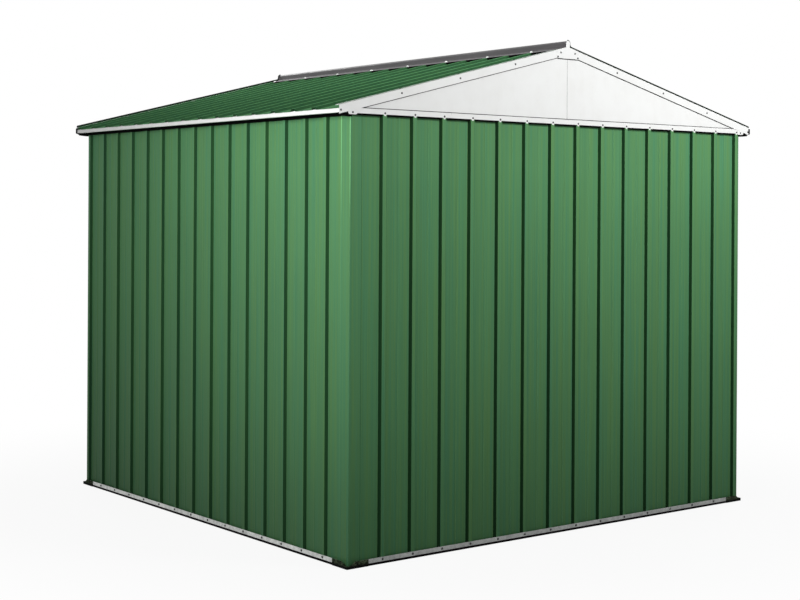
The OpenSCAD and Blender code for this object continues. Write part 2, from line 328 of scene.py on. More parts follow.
def white_paint(name, colour, dirt):
    """White powder coat with a little dust."""
    s = Surface(name)
    dust = s.noise(9, detail=5.0, rough=0.6)
    drips = s.noise(1.0, detail=4.0, stretch=(35, 35, 8))
    stain = s.maths("MULTIPLY", s.spread(dust, 0.4, 0.8, 0, 1), s.spread(drips, 0.4, 0.7, 0.5, 1))
    shade = s.mix(stain, colour, dirt)
    peel = s.noise(1100, detail=2.0)
    waves = s.noise(5, detail=1.0)
    normal = s.bump(waves, 0.6 * MM, 0.3)
    normal = s.bump(peel, 0.03 * MM, 0.5, under=normal)
    return s.finish(shade, s.spread(dust, 0.3, 0.7, 0.38, 0.52), normal, specular=0.3)


def galvanised_steel(name, dark, light, metallic=0.75):
    """Hot-dip galvanised steel with its spangle and a dull film."""
    s = Surface(name)
    spangle = s.node("ShaderNodeTexVoronoi", {"Vector": s.place, "Scale": 85}, feature="F1")
    flake = s.node("ShaderNodeSeparateColor", {"Color": spangle.outputs["Color"]})
    film = s.noise(14, detail=4.0, rough=0.65)
    grains = s.maths("MULTIPLY", flake.outputs["Red"], 0.45)
    tone = s.maths("ADD", grains, s.spread(film, 0.3, 0.7, 0, 0.55))
    colour = s.mix(tone, dark, light)
    normal = s.bump(flake.outputs["Red"], 0.05 * MM, 0.4)
    roughness = s.spread(film, 0.3, 0.7, 0.38, 0.58)
    return s.finish(colour, roughness, normal, metallic=metallic)


def grained_plastic(name, dark, light):
    """Black moulded plastic with a coarse grain, and dust in it over the first few millimetres."""
    s = Surface(name)
    grain = s.noise(420, detail=3.0, rough=0.6)
    dust = s.noise(70, detail=4.0, rough=0.7)
    speck = s.maths("MULTIPLY", s.spread(grain, 0.38, 0.6, 0, 1), s.spread(dust, 0.38, 0.58, 0, 1))
    speck = s.maths("MULTIPLY", speck, s.spread(s.height(), 8 * MM, 17 * MM, 0, 1))
    normal = s.bump(grain, 0.5 * MM, 0.8)
    return s.finish(s.mix(speck, dark, light), 0.85, normal, specular=0.04)


def ridge_paint(name, dark, light):
    """Grey coated steel, streaked along the ridge."""
    s = Surface(name)
    streaks = s.noise(1.0, detail=5.0, rough=0.6, stretch=(30, 3, 30))
    spots = s.noise(35, detail=4.0, rough=0.7)
    tone = s.maths("MULTIPLY", s.spread(streaks, 0.3, 0.7, 0, 1), s.spread(spots, 0.3, 0.7, 0.5, 1))
    normal = s.bump(s.noise(900, detail=2.0), 0.04 * MM, 0.5)
    roughness = s.spread(spots, 0.3, 0.7, 0.42, 0.6)
    return s.finish(s.mix(tone, dark, light), roughness, normal, specular=0.35)


def soft_black(name, colour):
    """Rubber and foam: seals, closures and washers, black; where they stand in for shade, the black is
    painted shade.
    """
    s = Surface(name)
    cells = s.noise(700, detail=3.0, rough=0.7)
    tone = s.spread(cells, 0.3, 0.7, 0.6, 1.3)
    return s.finish(s.scale_colour(colour, tone), 0.9, s.bump(cells, 0.2 * MM, 0.6), specular=0.02)


def screw_metal(name, colour, metallic, roughness):
    """Plated or painted screw heads, each a little different."""
    s = Surface(name)
    tint = s.noise(25, detail=1.0)
    scuff = s.noise(900, detail=3.0, rough=0.7)
    tone = s.maths("MULTIPLY", s.spread(tint, 0.3, 0.7, 0.75, 1.25), s.spread(scuff, 0.3, 0.7, 0.8, 1.2))
    normal = s.bump(scuff, 0.05 * MM, 0.5)
    return s.finish(s.scale_colour(colour, tone), roughness, normal, metallic=metallic)


# Most greens below darken towards their foot as painted shade.
WALL_PAINT = coated_steel("wall_green_paint", rgb(90, 136, 84), rgb(77, 132, 94), 0.42, 0.05)
# Darker copies of the wall green for the rib flanks: painted shade, darker still on the gables.
WALL_SHADE = coated_steel("wall_green_flank_painted_shade", rgb(44, 82, 46), rgb(36, 72, 46), 0.50, 0.02)
GABLE_SHADE = coated_steel("gable_green_flank_painted_shade", rgb(32, 65, 34), rgb(26, 57, 34), 0.50, 0.02)
# Lighter copy of the wall green for the corner folds, lighter again near the top: painted highlight.
WALL_FOLD_HIGHLIGHT = coated_steel(
    "wall_green_fold_painted_highlight", rgb(90, 140, 90), rgb(82, 136, 95), 0.42, 0.08, glow=2.0
)
# Lighter than the walls' green, as painted light on the roof, and darker towards the eaves over
# ROOF_REACH, as painted shade.
ROOF_PAINT = coated_steel(
    "roof_green_paint", rgb(104, 158, 104), rgb(92, 150, 108), 0.46, 0.0, ROOF_REACH
)
# Darker copy of the roof green for its rib flanks and the roof edges: painted shade.
ROOF_SHADE = coated_steel(
    "roof_green_flank_painted_shade", rgb(54, 92, 58), rgb(46, 84, 56), 0.65, 0.0, ROOF_REACH
)
# Near-black copy of the roof green for the high roof edges and the ridge hems: painted shade.
ROOF_EDGE_SHADE = coated_steel("roof_green_edge_painted_shade", rgb(22, 34, 24), rgb(18, 30, 22), 1.0, 0.02)
WHITE_PAINT = white_paint("white_trim_paint", rgb(223, 224, 223), rgb(215, 215, 213))
# Brighter copy of the trim white for the eave trims: painted light.
EAVE_LIT_WHITE = white_paint("white_eave_painted_light", rgb(230, 231, 230), rgb(221, 221, 219))
ZINC_BRIGHT = galvanised_steel("galvanised_bright", rgb(150, 152, 150), rgb(205, 207, 204))
# Darker, less metallic copy of the zinc for the end walls' rails: painted shade.
ZINC_SHADED = galvanised_steel("galvanised_painted_shade", rgb(112, 114, 113), rgb(150, 152, 150), metallic=0.45)
FOOT_PLASTIC = grained_plastic("foot_black_plastic", rgb(6, 7, 6), rgb(80, 92, 70))
RIDGE_PAINT = ridge_paint("ridge_grey_paint", rgb(74, 72, 74), rgb(94, 92, 93))
# A little darker copy of the ridge grey for its roll: painted shade.
RIDGE_ROLL = ridge_paint("ridge_grey_roll_painted_shade", rgb(72, 70, 72), rgb(94, 92, 94))
# Black for seals, and for pieces that stand where shade falls: painted shade.
SEAL_AND_SHADE = soft_black("black_foam_and_painted_shade", rgb(9, 9, 9))
DARK_SCREW = screw_metal("screw_dark_zinc", rgb(34, 34, 34), 0.3, 0.5)
WHITE_SCREW = screw_metal("screw_white_paint", rgb(226, 228, 226), 0.0, 0.4)


# ---- meshes


SHARP_ANGLE = math.radians(35)


def linked(name, data):
    """New object in the scene."""
    made = bpy.data.objects.new(name, data)
    bpy.context.scene.collection.objects.link(made)
    return made


def add_piece(name, vertices, faces, materials, shades=None):
    """Makes an object of the shed from points in the frame, and lets it ride on the body."""
    mesh = bpy.data.meshes.new(name)
    mesh.from_pydata([tuple(v) for v in vertices], [], faces)
    mesh.validate()
    for material in materials:
        mesh.materials.append(material)
    if shades:
        mesh.polygons.foreach_set("material_index", shades)
    piece = linked(name, mesh)
    mesh.polygons.foreach_set("use_smooth", [True] * len(mesh.polygons))
    mesh.set_sharp_from_angle(angle=SHARP_ANGLE)
    weights = piece.modifiers.new("weights", "WEIGHTED_NORMAL")
    weights.keep_sharp = True
    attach(piece, "root")
    return piece


def rounded(corners, radius, steps):
    """Rounds the corners of an open line of points with arcs, as a press brake does."""
    line = [Vector(corners[0])]
    for before, corner, after in zip(corners, corners[1:], corners[2:]):
        corner = Vector(corner)
        back = Vector(before) - corner
        ahead = Vector(after) - corner
        turn = math.pi - back.angle(ahead)
        if turn < 1e-4:
            line.append(corner)
            continue
        reach = min(radius * math.tan(turn / 2), 0.45 * back.length, 0.45 * ahead.length)
        start = corner + back.normalized() * reach
        end = corner + ahead.normalized() * reach
        bisector = (back.normalized() + ahead.normalized()).normalized()
        own_radius = reach / math.tan(turn / 2)
        centre = corner + bisector * math.hypot(reach, own_radius)
        sweep = (start - centre).angle_signed(end - centre)
        for i in range(steps + 1):
            spoke = (start - centre).copy()
            spoke.rotate(Matrix.Rotation(-sweep * i / steps, 2))
            line.append(centre + spoke)
    line.append(Vector(corners[-1]))
    return line


def normals_of(line):
    """Outward normal at each point of a line, lengthened at the bends so that offsets stay parallel."""
    result = []
    for i, point in enumerate(line):
        ahead = line[min(i + 1, len(line) - 1)] - point if i + 1 < len(line) else point - line[i - 1]
        back = point - line[i - 1] if i else ahead
        first = Vector((back.y, -back.x)).normalized()
        second = Vector((ahead.y, -ahead.x)).normalized()
        middle = (first + second).normalized()
        result.append(middle / max(middle.dot(first), 0.3))
    return result


def is_flank(start, step):
    """Whether a step of a ribbed sheet's line lies on the side of a rib, which gets painted shade."""
    return step.length > 0.3 * MM and abs(step.normalized().y) > 0.35


def is_steep(start, step):
    """Whether a step of the ridge cap's line lies on its roll."""
    return step.y**2 > 0.3 * step.length_squared


def sheet_mesh(line, thickness, to_frame, low, high, marked=None):
    """Sheet metal bent along a line of points, which is its outer face, from low to high.

    marked gives the number of the material for a step of the line, from its start and its direction.
    """
    flip = to_frame.determinant() < 0
    line = [Vector(point) for point in line]
    inner = [point - normal * thickness for point, normal in zip(line, normals_of(line))]
    count = len(line)
    vertices = []
    for third in (low, high):
        for side in (line, inner):
            vertices += [to_frame @ Vector((p.x, p.y, third)) for p in side]
    outer_low, inner_low, outer_high, inner_high = (i * count for i in range(4))
    faces, shades = [], []

    def add(a, b, c, d, shade=0):
        faces.append((d, c, b, a) if flip else (a, b, c, d))
        shades.append(shade)

    for i in range(count - 1):
        j = i + 1
        shade = int(marked(line[i], line[j] - line[i])) if marked else 0
        add(outer_low + i, outer_low + j, outer_high + j, outer_high + i, shade)
        add(inner_low + j, inner_low + i, inner_high + i, inner_high + j)
        add(outer_high + i, outer_high + j, inner_high + j, inner_high + i)
        add(inner_low + i, inner_low + j, outer_low + j, outer_low + i)
    last = count - 1
    add(outer_low + last, inner_low + last, inner_high + last, outer_high + last)
    add(inner_low, outer_low, outer_high, inner_high)
    return vertices, faces, shades


def prism_mesh(outline, to_frame, low, high):
    """Solid strip or block with a closed outline, from low to high."""
    pairs = list(zip(outline, outline[1:] + outline[:1]))
    area = sum(a[0] * b[1] - b[0] * a[1] for a, b in pairs)
    as_is = (area > 0) == (to_frame.determinant() > 0)
    count = len(outline)
    vertices = [to_frame @ Vector((x, y, third)) for third in (low, high) for x, y in outline]
    faces = [(i, (i + 1) % count, count + (i + 1) % count, count + i) for i in range(count)]
    faces += [tuple(reversed(range(count))), tuple(range(count, 2 * count))]
    return vertices, [face if as_is else face[::-1] for face in faces], [0] * len(faces)


def merged(name, parts, materials, node=None):
    """One piece of the shed from several meshes, in the place of a node if one is named."""
    vertices, faces, shades = [], [], []
    for part_vertices, part_faces, part_shades in parts:
        start = len(vertices)
        vertices += part_vertices
        faces += [tuple(start + i for i in face) for face in part_faces]
        shades += part_shades
    piece = add_piece(name, vertices, faces, materials, shades)
    if node:
        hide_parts(node)


def rib_corners(middle, lift=0.0, clear_end=0.0):
    """Outer corners of a rib; lift sinks one under a lap, and clear_end ends a lap before the foot."""
    half = RIB_TOP / 2
    lean = RIB_RUN / RIB_H
    start_depth = RIB_H + lift - (LAP_GAP if lift else 0)
    end_depth = RIB_H - clear_end
    return [
        (middle - half - (start_depth - lift) * lean, start_depth),
        (middle - half, lift),
        (middle + half, lift),
        (middle + half + (end_depth - lift) * lean, end_depth),
    ]


def arc_points(radius, middle, way):
    """Quarter of a round, from its side to its top; way is -1 where up is negative, or else 1."""
    points = []
    for i in range(ARC_STEPS + 1):
        angle = math.pi / 2 * i / ARC_STEPS
        points.append(Vector((radius * math.cos(angle), way * (middle + radius * math.sin(angle)))))
    return points


def bead_points(middle):
    """Shallow rounded bead in the middle of a pan."""
    points = []
    for i in range(ARC_STEPS + 1):
        share = i / ARC_STEPS
        rise = BEAD_H * (1 - math.cos(2 * math.pi * share)) / 2
        points.append(Vector((middle + (share - 0.5) * BEAD_W, RIB_H - rise)))
    return points


def ribbed_line(length, index, count, start, end):
    """Outer face of one ribbed sheet of a row; its last rib laps over the next sheet's first rib."""
    ribs = rib_places(length)
    per_sheet = math.ceil(len(ribs) / count)
    own = ribs[index * per_sheet : (index + 1) * per_sheet]
    is_last = index == count - 1
    line = [] if index else [Vector((start, RIB_H))]
    for number, middle in enumerate(own):
        under_lap = index > 0 and number == 0
        corners = rib_corners(middle, lift=LAP if under_lap else 0.0)
        before = line[-1] if line else Vector(corners[0])
        after = (middle + RIB_FOOT + 4 * MM, RIB_H)
        lead = [tuple(before)] if line else []
        bend = rounded(lead + corners + [after], BEND_R, BEND_STEPS)
        line += bend[1:-1] if lead else bend[:-1]
        if number < len(own) - 1 or not is_last:
            line += bead_points(middle + RIB_PITCH / 2)
    if is_last:
        line.append(Vector((end, RIB_H)))
    else:
        lap = rib_corners(own[-1] + RIB_PITCH, clear_end=LAP_GAP)
        line += rounded([tuple(line[-1])] + lap, BEND_R, BEND_STEPS)[1:]
    return line


def wall_skins():
    """Formed sheets of the four walls, in the place of the plain ones."""
    for side, length in SIDES.items():
        for index in range(WALL_SHEETS):
            node = f"{side}_wall_sheet_{index + 1}"
            low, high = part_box(node)
            line = ribbed_line(length, index, WALL_SHEETS, SHEET_START, length - SHEET_START)
            skin = sheet_mesh(line, SHEET_T, wall_axes(side), low.z, high.z, is_flank)
            # The rib flanks get painted shade, darker on the gables.
            flank = GABLE_SHADE if side in ENDS else WALL_SHADE
            merged(f"{side}_wall_skin_{index + 1}", [skin], [WALL_PAINT, flank], node)


def roof_skins():
    """Formed sheets of the two slopes of the roof."""
    run = (EAVE_X + ROOF_DRIP - RIDGE_GAP / 2) * STRETCH
    for hand in HANDS:
        for index in range(ROOF_SHEETS):
            line = ribbed_line(DEPTH, index, ROOF_SHEETS, -TRIM_T, DEPTH + TRIM_T)
            skin = sheet_mesh(line, SHEET_T, slope_axes(hand), 0.0, run, is_flank)
            # The rib flanks get painted shade.
            merged(
                f"{hand}_roof_skin_{index + 1}", [skin], [ROOF_PAINT, ROOF_SHADE],
                f"{hand}_roof_sheet_{index + 1}",
            )


# ---- trims


def gable_rails():
    """Rail along the foot of a gable: a face, and a ledge that stops short of both corners."""
    for end in ENDS:
        to_frame = length_axes(end)
        face = [(RAIL_Z, -TRIM_T), (RAIL_TOP, -TRIM_T)]
        bend = rounded(face + [(RAIL_TOP, CHANNEL_IN)], TRIM_BEND, BEND_STEPS)
        start = CHANNEL_IN + 2 * TRIM_T
        parts = [
            sheet_mesh(face, TRIM_T, to_frame, 0.0, start),
            sheet_mesh(bend, TRIM_T, to_frame, start, WIDTH - start),
            sheet_mesh(face, TRIM_T, to_frame, WIDTH - start, WIDTH),
        ]
        merged(f"{end}_rail_formed", parts, [WHITE_PAINT], f"{end}_gable_rail")


def rakes():
    """Rake trims: a face down the gable and, as far as the ridge cap, a flange over the roof."""
    face = [(-FACE_H, -2 * TRIM_T), (0.0, -2 * TRIM_T)]
    bend = rounded(face + [(0.0, RAKE_FLANGE - 2 * TRIM_T)], TRIM_BEND, BEND_STEPS)
    stop = EAVE_X - FLANGE_X
    for end, hand in CORNERS:
        to_frame = rake_axes(end, hand)
        parts = [
            sheet_mesh(bend, TRIM_T, to_frame, 0.0, stop),
            sheet_mesh(face, TRIM_T, to_frame, stop, EAVE_X),
        ]
        name = f"{end}_{hand}_rake"
        merged(f"{name}_formed", parts, [WHITE_PAINT], name)


def eave_trims():
    """Eave trims: a lower lip, a face, and a flange that slopes in under the roof sheets."""
    out = EAVE_X - HALF_W
    top = EAVE_Z - ROOF_PLAY
    flange = out - TRIM_T
    corners = [
        (RAIL_Z, FASCIA_LIP - out),
        (RAIL_Z, -out),
        (top, -out),
        (top + flange * RISE, flange - out),
    ]
    line = rounded(corners, TRIM_BEND, BEND_STEPS)
    for hand in HANDS:
        trim = sheet_mesh(line, TRIM_T, length_axes(hand), -TRIM_T, DEPTH + TRIM_T)
        # The eave trims get the brighter white: painted light.
        merged(f"{hand}_eave_formed", [trim], [EAVE_LIT_WHITE], f"{hand}_eave_trim")


def base_rails():
    """Channels along the ground that hold the wall sheets."""
    for side, length in SIDES.items():
        node = f"{side}_base_rail"
        low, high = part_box(node)
        start = low.x + HALF_W if side in ENDS else low.y + HALF_D
        deep = CHANNEL_IN + BASE_T
        corners = [(high.z, deep), (low.z, deep), (low.z, -BASE_T), (high.z, -BASE_T)]
        line = rounded(corners, TRIM_BEND, BEND_STEPS)
        channel = sheet_mesh(line, BASE_T, length_axes(side), start, length - start)
        # The end walls' rails get the darker zinc: painted shade.
        metal = ZINC_SHADED if side in ENDS else ZINC_BRIGHT
        merged(f"{side}_base_formed", [channel], [metal], node)


def corner_angles():
    """Angles over the corners, each with a stepped edge where it lies on the sheets."""
    outer = RIB_H - SHEET_T
    edge = 5 * MM
    lift = 0.5 * MM
    plain, fold, step_side = 0, 1, 2
    for end, hand in CORNERS:
        node = f"{end}_{hand}_corner"
        low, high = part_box(node)
        leg_w = high.x - low.x + outer
        leg_d = high.y - low.y + outer
        corners = [
            (outer - lift, leg_d),
            (outer - lift, leg_d - edge),
            (outer, leg_d - edge - 1.5 * lift),
            (outer, outer),
            (leg_w - edge - 1.5 * lift, outer),
            (leg_w - edge, outer - lift),
            (leg_w, outer - lift),
        ]
        line = rounded(corners, CORNER_R, 6)

        # fold marks the fold and the end flat of the leg along Y; step_side marks the step on the leg
        # along X, which gets painted shade.
        def marked(start, step):
            middle = start + step / 2
            if middle.y > leg_d - edge or max(middle.x, middle.y) < outer + CORNER_R:
                return fold
            return step_side if leg_w - edge - 2 * lift < middle.x < leg_w - edge else plain

        angle = sheet_mesh(line, SHEET_T, corner_axes(end, hand), low.z, high.z, marked)
        # bright: a painted highlight on the sunny corners, painted shade on the others.
        bright = WALL_FOLD_HIGHLIGHT if (end, hand) in SUNNY else WALL_SHADE
        merged(f"{node}_formed", [angle], [WALL_PAINT, bright, WALL_SHADE], node)


def ridge_half():
    """Outer face of half of the ridge cap, from its lower edge to the top, as (across, -height)."""
    plumb = RIDGE_T * STRETCH
    radius = ROLL_W / 2
    middle = rib_z(0) + ROLL_H - radius
    edge = (CAP_X, -rib_z(CAP_X) - plumb)
    foot = (radius, -rib_z(radius) - plumb)
    half = rounded([edge, foot, (radius, -middle)], 3 * MM, BEND_STEPS)[:-1]
    return half + arc_points(radius, middle, -1)


def ridge():
    """Ridge cap: two flanges on the roof's ribs, a round roll between them, and a hem at each end.

    The hem is on the right half at the front and, turned with the end, on the left half at the back.
    """
    half = ridge_half()
    line = [Vector((-p.x, p.y)) for p in half] + half[-2::-1]
    to_frame = axes((1, 0, 0), (0, 0, -1), (0, 1, 0), (0, -HALF_D - TRIM_T, 0))
    # The roll's faces get the darker grey copy: painted shade.
    cap = sheet_mesh(line, RIDGE_T, to_frame, 0.0, 2 * (HALF_D + TRIM_T), is_steep)
    merged("ridge_formed", [cap], [RIDGE_PAINT, RIDGE_ROLL], "ridge_cap")
    hem, hem_w = 4.5 * MM, 5 * MM
    raised = [p + n * hem for p, n in zip(line, normals_of(line))][len(half) - 1 :]
    for end in ENDS:
        sign = 1 if end == "front" else -1
        to_frame = axes((sign, 0, 0), (0, 0, -1), (0, sign, 0), (0, -sign * (HALF_D + TRIM_T), 0))
        strip = sheet_mesh(raised, hem, to_frame, 0.0, hem_w)
        # The hems' near-black is painted shade.
        merged(f"{end}_ridge_hem", [strip], [ROOF_EDGE_SHADE])


def apex_plates():
    """Plates over the meeting rakes, with a bump that covers the end of the ridge roll."""
    half = APEX_W / 2
    low = rake_top(half) - FACE_H
    radius = ROLL_W / 2 + TRIM_T
    bump = rib_z(0) + ROLL_H + TRIM_T - radius
    neck = rake_top(radius)
    right = rounded([(0.0, low), (half, low), (half, rake_top(half)), (radius, neck)], 5 * MM, 6)[1:-1]
    right += rounded([(half, rake_top(half)), (radius, neck), (radius, bump)], 3 * MM, 4)[1:-1]
    right += arc_points(radius, bump, 1)
    left = [Vector((-p.x, p.y)) for p in reversed(right[:-1])]
    outline = [(p.x, p.y - low) for p in right + left]
    for end in ENDS:
        plate = plates(f"{end}_apex_formed", outline, end, [(HALF_W, low)], 2 * TRIM_T, TRIM_T)
        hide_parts(f"{end}_apex_plate")


def feet():
    """Corner feet with softened edges."""
    for end, hand in CORNERS:
        node = NODES[f"{end}_{hand}_foot"]
        piece = linked(f"{end}_{hand}_foot_moulded", node.data.copy())
        piece.matrix_world = node.matrix_world.copy()
        piece.data.materials.clear()
        piece.data.materials.append(FOOT_PLASTIC)
        soft = piece.modifiers.new("soft_edges", "BEVEL")
        soft.width = 0.9 * MM
        soft.segments = 2
        soft.limit_method = "ANGLE"
        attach(piece, "root")
        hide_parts(f"{end}_{hand}_foot")


# ---- seals and closures, whose black is mostly painted shade


def black_piece(name, parts):
    """One black piece of foam or rubber; its black mostly stands in for shade, as painted shade."""
    merged(name, parts, [SEAL_AND_SHADE])


def pan_outlines(length, front, back, start, end):
    """Outlines of what fills the pans between the ribs, between two depths."""
    play = 0.4 * MM
    lean = RIB_RUN / RIB_H
    outlines = []
    ribs = rib_places(length)
    for before, after in zip([None] + ribs, ribs + [None]):
        near = [(start, back), (start, front)]
        if before is not None:
            side = before + RIB_TOP / 2 + play
            near = [(side + back * lean, back), (side + front * lean, front)]
        far = [(end, front), (end, back)]
        if after is not None:
            side = after - RIB_TOP / 2 - play
            far = [(side - front * lean, front), (side - back * lean, back)]
        if far[1][0] > near[0][0]:
            outlines.append(near + far)
    return outlines


def wall_pan_shades():
    """Black blocks in the pans of the walls, under the gable rails and the eave plates: painted shade.
    """
    for side, length in SIDES.items():
        high = RAIL_Z if side in ENDS else roof_z(HALF_W) - ROOF_PLAY - PLATE_H
        outlines = pan_outlines(length, 0.7 * MM, RIB_H - 0.5 * MM, SHEET_START, length - SHEET_START)
        span = RAIL_Z - 7 * MM, high + 6 * MM
        black_piece(f"{side}_closure", [prism_mesh(outline, wall_axes(side), *span) for outline in outlines])


def eave_shade_strips():
    """Black strips on the ribs under the eaves and blocks that close the overhangs' ends: painted shade.
    """
    out = EAVE_X - HALF_W
    strip = [
        (RAIL_Z + 9 * MM, -0.1 * MM), (RAIL_Z + 9 * MM, -4 * MM), (RAIL_Z - 7 * MM, -4 * MM),
        (RAIL_Z - 9.5 * MM, -2.5 * MM), (RAIL_Z - 10 * MM, -0.1 * MM),
    ]
    block = [
        (RAIL_Z + 3 * MM, 3 * MM - out), (RAIL_Z - 2 * MM, 3 * MM - out),
        (RAIL_Z - 11 * MM, 14 * MM - out), (RAIL_Z - 14 * MM, 0.0),
        (RAIL_Z - 14 * MM, RIB_H - SHEET_T), (RAIL_Z + 3 * MM, RIB_H - SHEET_T),
    ]
    for hand in HANDS:
        to_frame = length_axes(hand)
        parts = [
            prism_mesh(strip, to_frame, 0.0, DEPTH),
            prism_mesh(block, to_frame, 0.0, SHEET_START),
            prism_mesh(block, to_frame, DEPTH - SHEET_START, DEPTH),
        ]
        black_piece(f"{hand}_eave_shade_strip", parts)


def eave_end_shades():
    """Black caps over the ends of the eave trims on the shaded corners: painted shade."""
    low, high = RAIL_Z - 2 * MM, rake_top(EAVE_X) - 5 * MM
    deep, long, proud = 6 * MM, 14 * MM, 6 * MM
    middle = (low + high) / 2, HALF_W - EAVE_X + deep / 2 - 2.5 * MM
    outline = [(middle[0] + x, middle[1] + y) for x, y in capsule(high - low, deep)]
    for end, hand in SHADED:
        start = -proud if end == "front" else DEPTH - (long - proud)
        cap = prism_mesh(outline, length_axes(hand), start, start + long)
        black_piece(f"{end}_{hand}_eave_end_shade", [cap])


def ridge_foam_and_shades():
    """Foam in the pans of the roof under the edges of the ridge cap, and tape in front of it; their
    black is painted shade.
    """
    edge = (CAP_X - RIDGE_GAP / 2) * STRETCH
    foam = pan_outlines(DEPTH, 0.2 * MM, RIB_H - 0.2 * MM, 0.0, DEPTH)
    tape = pan_outlines(DEPTH, RIB_H - 1.2 * MM, RIB_H - 0.2 * MM, 0.0, DEPTH)
    for hand in HANDS:
        parts = [prism_mesh(outline, slope_axes(hand), edge - 22 * MM, edge) for outline in foam]
        parts += [prism_mesh(outline, slope_axes(hand), edge, edge + 12 * MM) for outline in tape]
        black_piece(f"{hand}_ridge_foam_and_shade", parts)


def base_shade_strips():
    """Black strip between the base rails and the ground, from foot to foot: painted shade."""
    profile = [
        (0.0, 10 * MM), (0.0, -0.4 * MM), (1.2 * MM, -1.4 * MM), (5 * MM, -2.0 * MM),
        (8.8 * MM, -1.6 * MM), (9.8 * MM, -0.8 * MM), (9.8 * MM, 10 * MM),
    ]
    play = 0.3 * MM
    for side, length in SIDES.items():
        seal = prism_mesh(profile, length_axes(side), FOOT_LEG + play, length - FOOT_LEG - play)
        black_piece(f"{side}_base_shade_strip", [seal])


def gable_shade_and_seam_lines():
    """Thin black strips round the infill: painted shade on the rail, under the rakes and the plate, and
    a dark joint down the seam.
    """
    deep = INFILL_SET
    rail = [
        (RAIL_TOP, deep), (RAIL_TOP, -0.5 * MM), (RAIL_TOP + 1.4 * MM, -0.7 * MM),
        (RAIL_TOP + 2.4 * MM, 0.2 * MM), (RAIL_TOP + 2.6 * MM, deep),
    ]
    edge = -FACE_H
    under = [
        (edge + 3 * MM, deep), (edge + 3 * MM, -0.7 * MM), (edge - 1.4 * MM, -0.7 * MM),
        (edge - 2.6 * MM, 0.1 * MM), (edge - 2.9 * MM, deep),
    ]
    low = rake_top(APEX_W / 2) - FACE_H
    plate = [
        (low + 0.4 * MM, deep), (low + 0.4 * MM, -1.4 * MM), (low - 1.4 * MM, -1.4 * MM),
        (low - 2.8 * MM, -0.4 * MM), (low - 3.0 * MM, deep),
    ]
    seam = [
        (-0.5 * MM, deep), (-0.3 * MM, deep - 0.4 * MM),
        (0.3 * MM, deep - 0.4 * MM), (0.5 * MM, deep),
    ]
    start = CHANNEL_IN + 2 * TRIM_T
    rake_start = (RAIL_TOP + 3 * MM - rake_top(EAVE_X) + FACE_H) / RISE
    rake_stop = EAVE_X - APEX_W / 2 + 3 * MM
    span = 58 * MM
    for end in ENDS:
        parts = [prism_mesh(rail, length_axes(end), start, WIDTH - start)]
        parts += [prism_mesh(under, rake_axes(end, hand), rake_start, rake_stop) for hand in HANDS]
        parts.append(prism_mesh(plate, length_axes(end), HALF_W - span, HALF_W + span))
        middle = wall_axes(end) @ Matrix.Translation((HALF_W, 0, 0))
        parts.append(prism_mesh(seam, middle, RAIL_TOP + 2 * MM, low - 2 * MM))
        black_piece(f"{end}_gable_shade_and_seam_lines", parts)


def roof_edges():
    """Rolled edges of the roof sheets along the rakes; a high one has a lap over the rake's flange."""
    for end, hand in CORNERS:
        name = f"{end}_{hand}_roof"
        to_frame = rake_axes(end, hand)
        sunny = (end, hand) in SUNNY
        rise = 1.2 * MM if sunny else 8.5 * MM
        middle, half = 2.4 * MM, 4.0 * MM
        roll = []
        for i in range(ARC_STEPS + 1):
            angle = math.pi * i / ARC_STEPS
            roll.append((rise * math.sin(angle), middle - half * math.cos(angle)))
        upper = FLANGE_X if sunny else ROLL_W / 2 + 4 * MM
        edge = prism_mesh(roll, to_frame, 0.0, EAVE_X - upper)
        # The rolls' darker greens are painted shade, near-black on the high ones.
        merged(f"{name}_edge", [edge], [ROOF_SHADE if sunny else ROOF_EDGE_SHADE])
        if not sunny:
            near, low, high = 6 * MM, 0.1 * MM, 1.5 * MM
            outline = [(low, near), (high, near), (high, RAKE_FLANGE), (low, RAKE_FLANGE)]
            lap = prism_mesh(outline, to_frame, 0.0, EAVE_X - FLANGE_X)
            # The lap's darker green is painted shade.
            merged(f"{name}_lap", [lap], [ROOF_SHADE])


# ---- screws


SIDES_OF_HEAD = 24
SPIN = 2.39996  # Turn from one head to the next, in radians
WASHER_H = 1.2 * MM


def ring(radius, height, hexagonal=False):
    """Points of one ring of a screw head, round or with six flats."""
    points = []
    for i in range(SIDES_OF_HEAD):
        angle = 2 * math.pi * i / SIDES_OF_HEAD
        reach = radius
        if hexagonal:
            reach = radius / math.cos((angle + math.pi / 6) % (math.pi / 3) - math.pi / 6)
        points.append(Vector((reach * math.cos(angle), reach * math.sin(angle), height)))
    return points


def hex_head(width, flange):
    """Flanged hexagonal head: washer face, flange, six flats and a chamfered top with a shallow dish."""
    half = width / 2
    lower = [(flange, 0.0), (flange, 0.5), (flange - 0.5 * MM, 1.0), (half + 0.35 * MM, 1.3)]
    upper = [(half - 0.1 * MM, 4.6), (half - 1.1 * MM, 4.7), (half - 1.9 * MM, 4.2), (0.2 * MM, 4.1)]
    flats = [ring(half, 1.5 * MM, True), ring(half, 4.0 * MM, True)]
    return [ring(r, z * MM) for r, z in lower] + flats + [ring(r, z * MM) for r, z in upper]


def pan_head(radius, height):
    """Low domed head of a rivet or small screw, with a dimple."""
    rings = [ring(radius, 0.0)]
    for i in range(5):
        angle = math.radians(12 + 15 * i)
        rings.append(ring(radius * math.cos(angle), height * math.sin(angle)))
    return rings + [ring(radius * 0.2, height * 0.7)]


def washer(radius):
    """Flat washer with a softened rim."""
    return [
        ring(radius, 0.0),
        ring(radius, 0.8 * MM),
        ring(radius - 0.6 * MM, WASHER_H),
        ring(radius * 0.4, WASHER_H),
    ]


